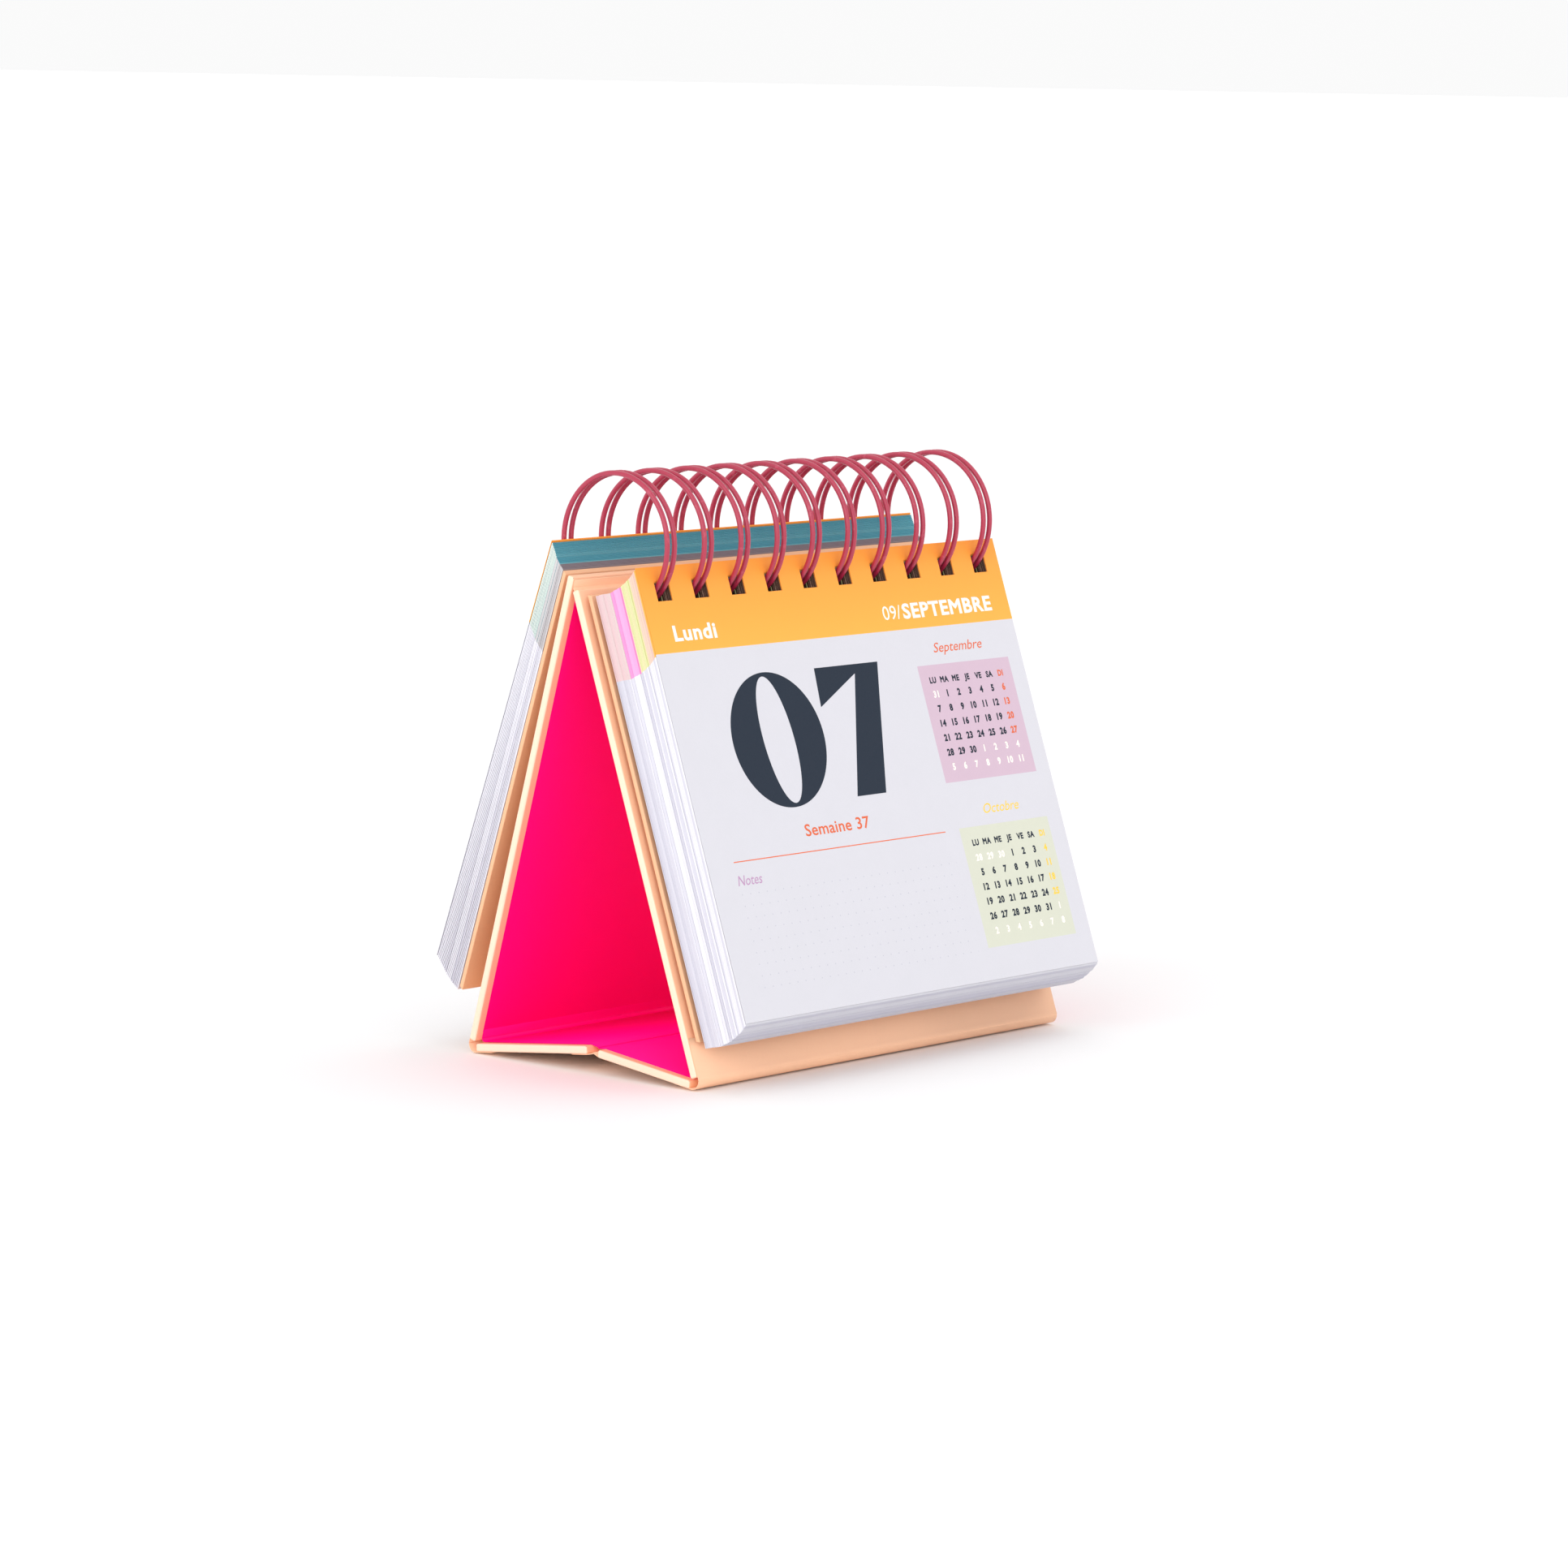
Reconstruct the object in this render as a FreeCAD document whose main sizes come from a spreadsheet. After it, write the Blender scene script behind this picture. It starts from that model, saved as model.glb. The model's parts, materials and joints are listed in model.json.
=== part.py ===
import FreeCAD, Part
import math
import os
import Sketcher

# A page-a-day desk calendar. A hard case of four wrapped boards folds into a tent, and a
# twin-loop wire through the tent's ridge carries two stacks of sheets: the days still to
# come hang in front and the days already flipped hang behind.
#
# Frame: +X runs along the wire, the current day faces -Y, +Z is up, and the origin lies
# on the table under the middle of the whole object. Every piece that touches the wire is
# drawn in a local frame on the wire's own axis, then tilted into place about X.

doc = FreeCAD.newDocument("flip_desk_calendar")
sheet = doc.addObject("Spreadsheet::Sheet", "Sizes")

SIZES = {
    "ring_y": -0.9,
    "ring_z": 121.8,
    "ring_radius": 16.0,
    "wire_radius": 0.62,
    "pitch": 12.7,
    "loop_count": 10,
    "wire_gap": 2.4,
    "front_tilt": 19.6,
    "back_tilt": 14.9,
    "rear_pages_tilt": 18.5,
    "panel_width": 132.2,
    "panel_thick": 2.0,
    "paper_thick": 0.2,
    "turn_in": 2.2,
    "front_panel_face": 7.6,
    "front_panel_top": -8.45,
    "back_panel_top": -9.1,
    "pivot_gap": 0.1,
    "edge_gap": 0.15,
    "foot_height": 2.4,
    "foot_flat": 1.8,
    "crease_y": -2.9,
    "crease_z": 4.6,
    "crease_gap": 3.4,
    "page_width": 129.2,
    "page_length": 106.2,
    "page_margin": 4.4,
    "card_width": 129.2,
    "card_length": 105.0,
    "card_thick": 1.1,
    "slot_width": 5.0,
    "slot_inner": 15.05,
    "slot_outer": 19.75,
    "board_hole": 4.7,
    "current_thick": 0.15,
    "last_flipped_thick": 0.15,
    "sheet_gap": 0.15,
    "front_stack_back": -4.1,
    "backing_depth": -6.5,
    "rear_stack_near": 7.8,
    "rear_splay_near": -1.9,
    "last_flipped_splay": 1.7,
    "cover_near": 6.6,
    "cover_splay": 2.0,
    "groove_rise": 0.4,
    "base_turn_back": 3.0,
    "front_foot_sweep": 125,
    "rear_foot_sweep": 110,
    "root_bend": 1.0,
    "root_seat": -68.6,
    "tip_clearance": 0.35,
}
for row, (alias, value) in enumerate(SIZES.items(), start=1):
    sheet.set("A%d" % row, alias)
    sheet.set("B%d" % row, str(value))
    sheet.setAlias("B%d" % row, alias)
doc.recompute()


def turned(point, degrees):
    """A (y, z) pair turned about the X axis."""
    angle = math.radians(degrees)
    y, z = point
    return (y * math.cos(angle) - z * math.sin(angle), y * math.sin(angle) + z * math.cos(angle))


def placed(origin, degrees, point):
    """A local (y, z) point in the object's frame."""
    y, z = turned(point, degrees)
    return (origin[0] + y, origin[1] + z)


def angle_to(start, end):
    """The angle of the line from start to end, seen along X."""
    return math.degrees(math.atan2(end[1] - start[1], end[0] - start[0]))


# Local frames: y runs up along the sheets, z runs out of their printed face in front and
# into the tent behind. RING is the wire's axis.
RING = (SIZES["ring_y"], SIZES["ring_z"])
FRONT_TURN = 90 - SIZES["front_tilt"]
BACK_TURN = 90 + SIZES["back_tilt"]
REAR_PAGES_TURN = 90 + SIZES["rear_pages_tilt"]

# The apex pivot lies where the inner faces of the two tall panels meet, and each foot
# pivot lies on the inner face of its tall panel, just above the table.
inner_depth = SIZES["front_panel_face"] + SIZES["panel_thick"] + SIZES["pivot_gap"]
APEX = placed(RING, FRONT_TURN, (SIZES["front_panel_top"] + SIZES["edge_gap"], -inner_depth))
front_drop = (SIZES["foot_height"] - APEX[1]) / math.cos(math.radians(SIZES["front_tilt"]))
back_drop = (SIZES["foot_height"] - APEX[1]) / math.cos(math.radians(SIZES["back_tilt"]))
FRONT_FOOT = placed(APEX, FRONT_TURN, (front_drop, 0))
REAR_FOOT = placed(APEX, BACK_TURN, (back_drop, 0))
CREASE = (SIZES["crease_y"], SIZES["crease_z"])


def constant(value):
    """A plain number as an expression."""
    return "%.6g" % value


def outline(sketch, name, corners):
    """A closed polygon whose every corner is bound to a pair of expressions."""
    count = len(corners)
    first = len(sketch.Geometry)
    spots = []
    for i in range(count):
        turn = 2 * math.pi * i / count
        spots.append(FreeCAD.Vector(math.cos(turn), math.sin(turn), 0))
    for i in range(count):
        sketch.addGeometry(Part.LineSegment(spots[i], spots[(i + 1) % count]), False)
    for i in range(count):
        after = first + (i + 1) % count
        sketch.addConstraint(Sketcher.Constraint("Coincident", first + i, 2, after, 1))
    for i, pair in enumerate(corners):
        for kind, value, expression in zip(("DistanceX", "DistanceY"), spots[i], pair):
            index = sketch.addConstraint(Sketcher.Constraint(kind, -1, 1, first + i, 1, value))
            label = "%s_%d_%s" % (name, i, kind[-1])
            sketch.renameConstraint(index, label)
            sketch.setExpression("Constraints." + label, expression)


def rectangle(sketch, name, half_width, low, high):
    """A rectangle centred on the local Z axis."""
    right = "(%s)" % half_width
    left = "-(%s)" % half_width
    outline(sketch, name, [(left, low), (right, low), (right, high), (left, high)])


def new_body(label, origin, turn):
    body = doc.addObject("PartDesign::Body", label)
    body.Label = label
    rotation = FreeCAD.Rotation(FreeCAD.Vector(1, 0, 0), turn)
    body.Placement = FreeCAD.Placement(FreeCAD.Vector(0, origin[0], origin[1]), rotation)
    return body


def new_sketch(body, name, plane, offset=None):
    """A sketch on one of the body's own origin planes, lifted by an expression."""
    sketch = body.newObject("Sketcher::SketchObject", body.Name + "_" + name)
    support = [f for f in body.Origin.OriginFeatures if f.Role == plane][0]
    sketch.AttachmentSupport = (support, [""])
    sketch.MapMode = "FlatFace"
    if offset is not None:
        sketch.setExpression("AttachmentOffset.Base.z", offset)
    return sketch


def pad(body, sketch, length, symmetric=False):
    feature = body.newObject("PartDesign::Pad", sketch.Name + "_pad")
    feature.Profile = sketch
    feature.setExpression("Length", length)
    if symmetric:
        feature.SideType = "Symmetric"
    sketch.Visibility = False
    return feature


def repeat_along_wire(body, feature, sketch):
    """Repeats one hole at every loop of the wire."""
    pattern = body.newObject("PartDesign::LinearPattern", feature.Name + "_row")
    pattern.Originals = [feature]
    pattern.Direction = (sketch, ["H_Axis"])
    pattern.setExpression("Length", "Sizes.pitch * (Sizes.loop_count - 1)")
    pattern.setExpression("Occurrences", "Sizes.loop_count")
    body.Tip = pattern
    return pattern


FIRST_LOOP = "(-Sizes.pitch * (Sizes.loop_count - 1) / 2)"
HALF_SLOT = "Sizes.slot_width / 2"


def punch_board(body, centre, low_face):
    """One row of straight square holes through a board that lies in the local XY plane."""
    sketch = new_sketch(body, "holes", "XY_Plane", low_face)
    left = "%s - %s" % (FIRST_LOOP, HALF_SLOT)
    right = "%s + %s" % (FIRST_LOOP, HALF_SLOT)
    low = "%s - Sizes.board_hole / 2" % centre
    high = "%s + Sizes.board_hole / 2" % centre
    outline(sketch, "hole", [(left, low), (right, low), (right, high), (left, high)])
    pocket = body.newObject("PartDesign::Pocket", sketch.Name + "_cut")
    pocket.Profile = sketch
    pocket.Type = "ThroughAll"
    pocket.Midplane = True
    repeat_along_wire(body, pocket, sketch)


def punch_sheets(body):
    """One row of slots whose inner and outer walls follow the wire's own circle."""
    sketch = new_sketch(body, "slots", "XY_Plane")
    left = "%s - %s" % (FIRST_LOOP, HALF_SLOT)
    right = "%s + %s" % (FIRST_LOOP, HALF_SLOT)
    low, high = "-Sizes.slot_outer", "-Sizes.slot_inner"
    outline(sketch, "slot", [(left, low), (right, low), (right, high), (left, high)])
    groove = body.newObject("PartDesign::Groove", sketch.Name + "_cut")
    groove.Profile = sketch
    groove.ReferenceAxis = (sketch, ["H_Axis"])
    groove.Angle = 360
    repeat_along_wire(body, groove, sketch)


# Hard case: a greyboard, the printed paper wrapped round it, and the lining ------------
def hard_panel(name, origin, turn, low, high, inner, outwards, hole_centre=None):
    """Board, wrap and lining of one panel.

    inner is the local height of the lining's face, and outwards is +1 where the wrapped
    face lies above it and -1 where it lies below.
    """
    sign = "" if outwards > 0 else "-"
    half = "Sizes.panel_width / 2"
    paper = "Sizes.paper_thick"

    def level(depth):
        return "%s + (%s(%s))" % (inner, sign, depth)

    def layer(body, part, near, far, frame=None, inset="0"):
        lower, upper = (near, far) if outwards > 0 else (far, near)
        sketch = new_sketch(body, part, "XY_Plane", level(lower))
        edge = "%s - (%s)" % (half, inset)
        rectangle(sketch, "edge", edge, "%s + %s" % (low, inset), "%s - %s" % (high, inset))
        if frame is not None:
            window = "%s - (%s)" % (half, frame)
            rectangle(sketch, "window", window, "%s + %s" % (low, frame), "%s - %s" % (high, frame))
        pad(body, sketch, "abs((%s) - (%s))" % (upper, lower))

    board = new_body(name + "_board", origin, turn)
    layer(board, "core", paper, "Sizes.panel_thick - " + paper, inset=paper)

    wrap = new_body(name + "_wrap", origin, turn)
    layer(wrap, "face", "Sizes.panel_thick - " + paper, "Sizes.panel_thick")
    layer(wrap, "edges", paper, "Sizes.panel_thick - " + paper, frame=paper)
    layer(wrap, "turn_in", "0", paper, frame="Sizes.turn_in")

    lining = new_body(name + "_lining", origin, turn)
    layer(lining, "sheet", "0", paper, inset="Sizes.turn_in")

    if hole_centre is not None:
        for body in (board, wrap, lining):
            punch_board(body, hole_centre, level("Sizes.panel_thick / 2"))
    return [board, wrap, lining]


def hole_line(depth):
    """How far below the wire's axis its circle meets a plane that lies depth away."""
    return "(-sqrt(Sizes.ring_radius ^ 2 - (%s) ^ 2))" % depth


subparts = []

front_inner = "(-(Sizes.front_panel_face + Sizes.panel_thick))"
front_middle = "Sizes.front_panel_face + Sizes.panel_thick / 2"
front_low = constant(SIZES["front_panel_top"] + 2 * SIZES["edge_gap"] + front_drop)
subparts += hard_panel("front", RING, FRONT_TURN, front_low, "Sizes.front_panel_top", front_inner, 1,
                       hole_line(front_middle))

apex_in_back_frame = turned((APEX[0] - RING[0], APEX[1] - RING[1]), -BACK_TURN)
back_depth = -apex_in_back_frame[1] + SIZES["pivot_gap"]
back_inner = constant(-back_depth)
back_middle = constant(back_depth + SIZES["panel_thick"] / 2)
back_low = constant(apex_in_back_frame[0] + back_drop + SIZES["edge_gap"])
subparts += hard_panel("back", RING, BACK_TURN, back_low, "Sizes.back_panel_top", back_inner, -1,
                       hole_line(back_middle))

# The two base panels meet at a crease that stands a little above the table. Their wrapped
# faces look down, and their lined faces look up into the tent. Each is turned up a little
# from the line between its foot and the crease, so that its lower face clears the table.
base_front_turn = angle_to(FRONT_FOOT, CREASE) + SIZES["base_turn_back"]
base_rear_turn = angle_to(CREASE, REAR_FOOT) - SIZES["base_turn_back"]
base_front_reach = math.dist(FRONT_FOOT, CREASE) - SIZES["crease_gap"] / 2
base_rear_reach = math.dist(REAR_FOOT, CREASE) - SIZES["crease_gap"] / 2
subparts += hard_panel("base_front", FRONT_FOOT, base_front_turn, "Sizes.edge_gap",
                       constant(base_front_reach), "(-Sizes.pivot_gap)", -1)
subparts += hard_panel("base_rear", REAR_FOOT, base_rear_turn, constant(-base_rear_reach),
                       "(-Sizes.edge_gap)", "(-Sizes.pivot_gap)", -1)


# Paper hinges ---------------------------------------------------------------------------
def strip(label, origin, turn, low, high, bottom, top, width="Sizes.panel_width"):
    """A flat strip of paper along X, between two pairs of local limits."""
    body = new_body(label, origin, turn)
    sketch = new_sketch(body, "section", "YZ_Plane")
    outline(sketch, "edge", [(low, bottom), (high, bottom), (high, top), (low, top)])
    pad(body, sketch, width, symmetric=True)
    return body


def foot_strip(label, origin, start, sweep):
    """Paper bent round the foot, with the flat that the calendar rests on."""
    turn = FreeCAD.Rotation(FreeCAD.Vector(0, 1, 0), 90)
    cylinders = []
    for name, inset in (("outside", "0"), ("inside", "Sizes.paper_thick")):
        cylinder = doc.addObject("Part::Cylinder", label + "_" + name)
        cylinder.setExpression("Radius", "Sizes.foot_height - " + inset)
        cylinder.setExpression("Height", "Sizes.panel_width")
        cylinders.append(cylinder)
    # The cylinder's own X axis points down once its axis lies along X.
    spin = FreeCAD.Rotation(FreeCAD.Vector(1, 0, 0), start + 90)
    corner = FreeCAD.Vector(-SIZES["panel_width"] / 2, origin[0], origin[1])
    cylinders[0].Angle = sweep
    for cylinder in cylinders:
        cylinder.Placement = FreeCAD.Placement(corner, spin.multiply(turn))
    bend = doc.addObject("Part::Cut", label + "_bend")
    bend.Base, bend.Tool = cylinders
    flat = doc.addObject("Part::Box", label + "_flat")
    flat.setExpression("Length", "Sizes.panel_width")
    flat.setExpression("Width", "Sizes.foot_flat")
    flat.setExpression("Height", "Sizes.paper_thick")
    flat.Placement.Base = FreeCAD.Vector(corner.x, origin[0] - SIZES["foot_flat"] / 2, 0)
    whole = doc.addObject("Part::Fuse", label)
    whole.Base, whole.Tool = bend, flat
    whole.Label = label
    return whole


apex_strip_low = constant(apex_in_back_frame[0] + SIZES["groove_rise"])
subparts.append(strip("apex_hinge_strip", RING, BACK_TURN, apex_strip_low, "Sizes.back_panel_top",
                      back_inner, back_inner + " + Sizes.paper_thick"))
subparts.append(foot_strip("front_foot_strip", FRONT_FOOT, 180 - SIZES["front_tilt"],
                           SIZES["front_foot_sweep"]))
subparts.append(foot_strip("rear_foot_strip", REAR_FOOT, SIZES["back_tilt"] - SIZES["rear_foot_sweep"],
                           SIZES["rear_foot_sweep"]))

# The base's own crease: paper across the gap between the two base boards, at their lower faces.
crease_low = "-(Sizes.crease_gap / 2 - Sizes.edge_gap)"
crease_high = "Sizes.crease_gap / 2 - Sizes.edge_gap"
under = SIZES["panel_thick"] + SIZES["pivot_gap"]
crease_under = placed(FRONT_FOOT, base_front_turn, (base_front_reach + SIZES["crease_gap"] / 2, -under))
subparts.append(strip("base_crease_strip", crease_under, 0, crease_low, crease_high,
                      "-Sizes.paper_thick", "0"))


# Sheets ---------------------------------------------------------------------------------
def hung_top(depth):
    """Top edge of a sheet whose holes hang on the wire, for a sheet that far from it."""
    return "Sizes.page_margin - sqrt(Sizes.ring_radius ^ 2 - (%s) ^ 2)" % depth


def hung_sheets(label, turn, near, far, splay=(0, 0), length="Sizes.page_length", width="Sizes.page_width"):
    """A block of sheets between two distances from the wire's axis, on the +Z side.

    splay moves the bottom edges of the near and the far sheet away from the axis.
    """
    body = new_body(label, RING, turn)
    sketch = new_sketch(body, "profile", "YZ_Plane")
    corners = []
    for depth, spread in ((near, splay[0]), (far, splay[1])):
        top = hung_top(constant(depth))
        corners.append([(top, constant(depth)), ("%s - %s" % (top, length), constant(depth + spread))])
    outline(sketch, "edge", [corners[0][0], corners[0][1], corners[1][1], corners[1][0]])
    pad(body, sketch, width, symmetric=True)
    punch_sheets(body)
    return body


# Front stack, from the last pages of the year up to the current day, with the thickness of
# each month's sheets.
FRONT_GROUPS = {
    "year_end_sheets": 4.6,
    "december_sheets": 3.5,
    "november_sheets": 3.0,
    "october_sheets": 2.0,
    "september_sheets": 0.4,
}
near = SIZES["front_stack_back"]
for label, thickness in FRONT_GROUPS.items():
    far = near + thickness
    subparts.append(hung_sheets(label, FRONT_TURN, near, far))
    near = far
current_face = far + SIZES["sheet_gap"]
subparts.append(hung_sheets("current_day_sheet", FRONT_TURN, current_face,
                            current_face + SIZES["current_thick"]))
backing_face = SIZES["backing_depth"] + SIZES["card_thick"]
subparts.append(hung_sheets("backing_board", FRONT_TURN, SIZES["backing_depth"], backing_face,
                            length="Sizes.card_length", width="Sizes.card_width"))

# Rear stack: the sheets hang on the far side of the wire, so their depths are negative.
# Each month has its thickness and how much more it splays at the bottom than the last one.
REAR_GROUPS = {
    "june_sheets": (1.4, 1.0),
    "july_sheets": (1.4, 1.0),
    "august_sheets": (2.4, 1.5),
}
near, near_splay = SIZES["rear_stack_near"], SIZES["rear_splay_near"]
for label, (thickness, more_splay) in REAR_GROUPS.items():
    far, far_splay = near + thickness, near_splay + more_splay
    subparts.append(hung_sheets(label, REAR_PAGES_TURN, -far, -near, (-far_splay, -near_splay)))
    near, near_splay = far, far_splay
last_flipped = near + SIZES["sheet_gap"]
last_splay = -SIZES["last_flipped_splay"]
subparts.append(hung_sheets("last_flipped_sheet", REAR_PAGES_TURN,
                            -(last_flipped + SIZES["last_flipped_thick"]), -last_flipped,
                            (last_splay, last_splay)))

# The cover was flipped first, so it hangs innermost and leans back towards the tent.
subparts.append(hung_sheets("front_cover", REAR_PAGES_TURN, -(SIZES["cover_near"] + SIZES["card_thick"]),
                            -SIZES["cover_near"], (SIZES["cover_splay"], SIZES["cover_splay"]),
                            length="Sizes.card_length", width="Sizes.card_width"))


# Twin-loop wire ------------------------------------------------------------------------
def on_ring(x, degrees, radius):
    """A point on the wire's cylinder; the angle runs from +Y towards +Z."""
    angle = math.radians(degrees)
    return FreeCAD.Vector(x, RING[0] + radius * math.cos(angle), RING[1] + radius * math.sin(angle))


def bend(corner, before, after, radius):
    """A quarter turn that leaves along before and arrives along after."""
    middle = corner + before * radius * math.sin(math.pi / 4) + after * radius * (1 - math.cos(math.pi / 4))
    end = corner + before * radius + after * radius
    return Part.Arc(corner, middle, end), end


def wire_path(root_angle, tip_angle, root_bend):
    """The whole wire's centre line: a root, up one side of a loop, its tip, and back."""
    radius = SIZES["ring_radius"]
    half_gap = SIZES["wire_gap"] / 2
    along = FreeCAD.Vector(1, 0, 0)
    edges = []
    first = -SIZES["pitch"] * (SIZES["loop_count"] - 1) / 2

    def tangent(degrees):
        angle = math.radians(degrees)
        return FreeCAD.Vector(0, -math.sin(angle), math.cos(angle))

    root_turn = tangent(root_angle)
    previous = None
    for i in range(int(SIZES["loop_count"])):
        centre = first + i * SIZES["pitch"]
        left, right = centre - half_gap, centre + half_gap
        root_left = on_ring(left, root_angle, radius)
        tip_left = on_ring(left, tip_angle, radius)
        tip_right = on_ring(right, tip_angle, radius)
        root_right = on_ring(right, root_angle, radius)
        far_left = on_ring(left, (root_angle + tip_angle) / 2, radius)
        far_right = on_ring(right, (root_angle + tip_angle) / 2, radius)
        if previous is not None:
            landing = root_left + root_turn * root_bend - along * root_bend
            edges.append(Part.LineSegment(previous, landing))
            arrive, _ = bend(landing, along, root_turn * -1, root_bend)
            edges.append(arrive)
        edges.append(Part.Arc(root_left, far_left, tip_left))
        tip_out = tangent(tip_angle) * -half_gap
        edges.append(Part.Arc(tip_left, (tip_left + tip_right) * 0.5 + tip_out, tip_right))
        edges.append(Part.Arc(tip_right, far_right, root_right))
        if i < SIZES["loop_count"] - 1:
            leave, previous = bend(root_right, root_turn, along, root_bend)
            edges.append(leave)
    return Part.Wire([edge.toShape() for edge in edges])


# The root's bends end at root_seat, and the tips stop just short of the root.
root_angle = SIZES["root_seat"] - math.degrees(SIZES["root_bend"] / SIZES["ring_radius"])
tip_reach = SIZES["wire_gap"] / 2 + 2 * SIZES["wire_radius"] + SIZES["tip_clearance"]
tip_angle = SIZES["root_seat"] + math.degrees(tip_reach / SIZES["ring_radius"]) - 360
path = wire_path(root_angle, tip_angle, SIZES["root_bend"])
start = path.OrderedVertexes[0].Point
section_normal = path.OrderedEdges[0].tangentAt(path.OrderedEdges[0].FirstParameter)
section = Part.Wire(Part.makeCircle(SIZES["wire_radius"], start, section_normal))
wire = doc.addObject("Part::Feature", "twin_loop_wire")
wire.Label = "twin_loop_wire"
wire.Shape = path.makePipeShell([section], True, False)
subparts.append(wire)

doc.recompute()

problems = [o.Name for o in doc.Objects if "Invalid" in o.State or "Error" in o.State]
for part in subparts:
    if part.Shape.isNull() or not part.Shape.isValid():
        problems.append(part.Label + " shape")
if problems:
    raise RuntimeError("not built: " + ", ".join(problems))

expected_wire = math.pi * SIZES["wire_radius"] ** 2 * path.Length
print("wire volume / section times length: %.4f" % (wire.Shape.Volume / expected_wire))
print("ring axis %.3f %.3f" % RING)
print("apex %.3f %.3f" % APEX)
print("front foot %.3f %.3f" % FRONT_FOOT)
print("rear foot %.3f %.3f" % REAR_FOOT)
print("crease %.3f %.3f" % CREASE)

os.makedirs("parts", exist_ok=True)
for part in subparts:
    part.Shape.exportStep("parts/%s.step" % part.Label)
    box = part.Shape.BoundBox
    print("%-22s solids %d  volume %9.1f  y %7.2f..%7.2f  z %7.2f..%7.2f" % (
        part.Label, len(part.Shape.Solids), part.Shape.Volume, box.YMin, box.YMax, box.ZMin, box.ZMax))
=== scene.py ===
# %% [markdown]
# # A flip desk calendar
# A page-a-day calendar stands on its own folded case. A twin-loop wire carries two stacks of
# sheets over the ridge. The frame that is loaded here fixes every place and size; the cells
# below only give each piece its finer shape, its print and its finish.

# %% The frame
import json
import math
import random

import bmesh
import bpy
from mathutils import Matrix, Vector


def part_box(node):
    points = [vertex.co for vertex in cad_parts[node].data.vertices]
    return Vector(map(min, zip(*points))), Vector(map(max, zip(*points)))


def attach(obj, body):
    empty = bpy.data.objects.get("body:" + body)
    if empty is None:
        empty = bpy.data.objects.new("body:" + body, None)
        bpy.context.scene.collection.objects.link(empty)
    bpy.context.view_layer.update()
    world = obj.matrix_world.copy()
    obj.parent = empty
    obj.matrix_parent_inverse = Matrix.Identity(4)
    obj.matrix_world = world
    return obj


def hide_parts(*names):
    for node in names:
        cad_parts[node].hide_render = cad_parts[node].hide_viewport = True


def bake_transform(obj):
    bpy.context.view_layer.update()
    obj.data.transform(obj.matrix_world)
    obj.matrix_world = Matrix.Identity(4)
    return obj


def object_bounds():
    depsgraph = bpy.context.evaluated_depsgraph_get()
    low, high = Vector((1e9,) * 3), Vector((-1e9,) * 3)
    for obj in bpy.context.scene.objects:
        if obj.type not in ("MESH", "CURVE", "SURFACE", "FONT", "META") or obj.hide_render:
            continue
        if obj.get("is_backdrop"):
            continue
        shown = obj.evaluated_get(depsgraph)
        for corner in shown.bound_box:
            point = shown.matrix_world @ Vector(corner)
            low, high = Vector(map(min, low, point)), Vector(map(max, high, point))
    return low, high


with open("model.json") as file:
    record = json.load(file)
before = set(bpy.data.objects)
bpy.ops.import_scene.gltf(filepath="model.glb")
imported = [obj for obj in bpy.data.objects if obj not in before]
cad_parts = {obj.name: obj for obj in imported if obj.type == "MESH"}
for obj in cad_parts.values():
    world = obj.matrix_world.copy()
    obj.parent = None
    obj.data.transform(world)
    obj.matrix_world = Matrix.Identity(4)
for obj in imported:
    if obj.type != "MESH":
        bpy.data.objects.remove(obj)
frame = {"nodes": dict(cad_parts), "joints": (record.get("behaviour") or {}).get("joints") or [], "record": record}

CAD_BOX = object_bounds()
MM = 0.001
random.seed(7)
print("CAD box in mm:", [[round(c / MM, 1) for c in corner] for corner in CAD_BOX])

# %% [markdown]
# Every piece that hangs on the wire is easiest to draw flat, in a local frame whose origin is
# the wire's axis: x along the wire, y up along the sheets and z out of the face. One turn about
# X then stands it up. The joints of the frame give the axis, the ridge and the two feet.

# %% Local frames
joint_place = {j["name"]: Vector(j["pos_m"]) for j in frame["joints"]}
RING = joint_place["wire_turn"]
APEX = joint_place["easel_fold"]
FRONT_FOOT = joint_place["base_front_fold"]
REAR_FOOT = joint_place["base_rear_fold"]


def lean(top, foot):
    """How far the line from foot to top leans from upright, in radians."""
    return math.atan2(top.y - foot.y, top.z - foot.z)


FRONT_TURN = math.pi / 2 - lean(APEX, FRONT_FOOT)
BACK_TURN = math.pi / 2 - lean(APEX, REAR_FOOT)
FRONT = Matrix.Translation(RING) @ Matrix.Rotation(FRONT_TURN, 4, "X")
BACK = Matrix.Translation(RING) @ Matrix.Rotation(BACK_TURN, 4, "X")


def end_corners(node, stand):
    """The corners (y, z) of a node's right-hand end: top and bottom, each from low z to high."""
    inverse = stand.inverted()
    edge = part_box(node)[1].x - 0.01 * MM
    spots = {}
    for vertex in frame["nodes"][node].data.vertices:
        if vertex.co.x > edge:
            place = inverse @ vertex.co
            spots[(round(place.y, 6), round(place.z, 6))] = (place.y, place.z)
    ordered = sorted(spots.values())
    by_height = lambda pair: pair[1]
    return sorted(ordered[-2:], key=by_height), sorted(ordered[:2], key=by_height)


def local_box(node, stand):
    """Lowest and highest corner of a node in a local frame."""
    inverse = stand.inverted()
    places = [inverse @ v.co for v in frame["nodes"][node].data.vertices]
    low = Vector([min(p[i] for p in places) for i in range(3)])
    high = Vector([max(p[i] for p in places) for i in range(3)])
    return low, high


sheet_low, sheet_high = local_box("current_day_sheet", FRONT)
PAGE_WIDTH = sheet_high.x - sheet_low.x
print("page %.1f mm wide, front lean %.1f degrees" % (PAGE_WIDTH / MM, 90 - math.degrees(FRONT_TURN)))

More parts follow.
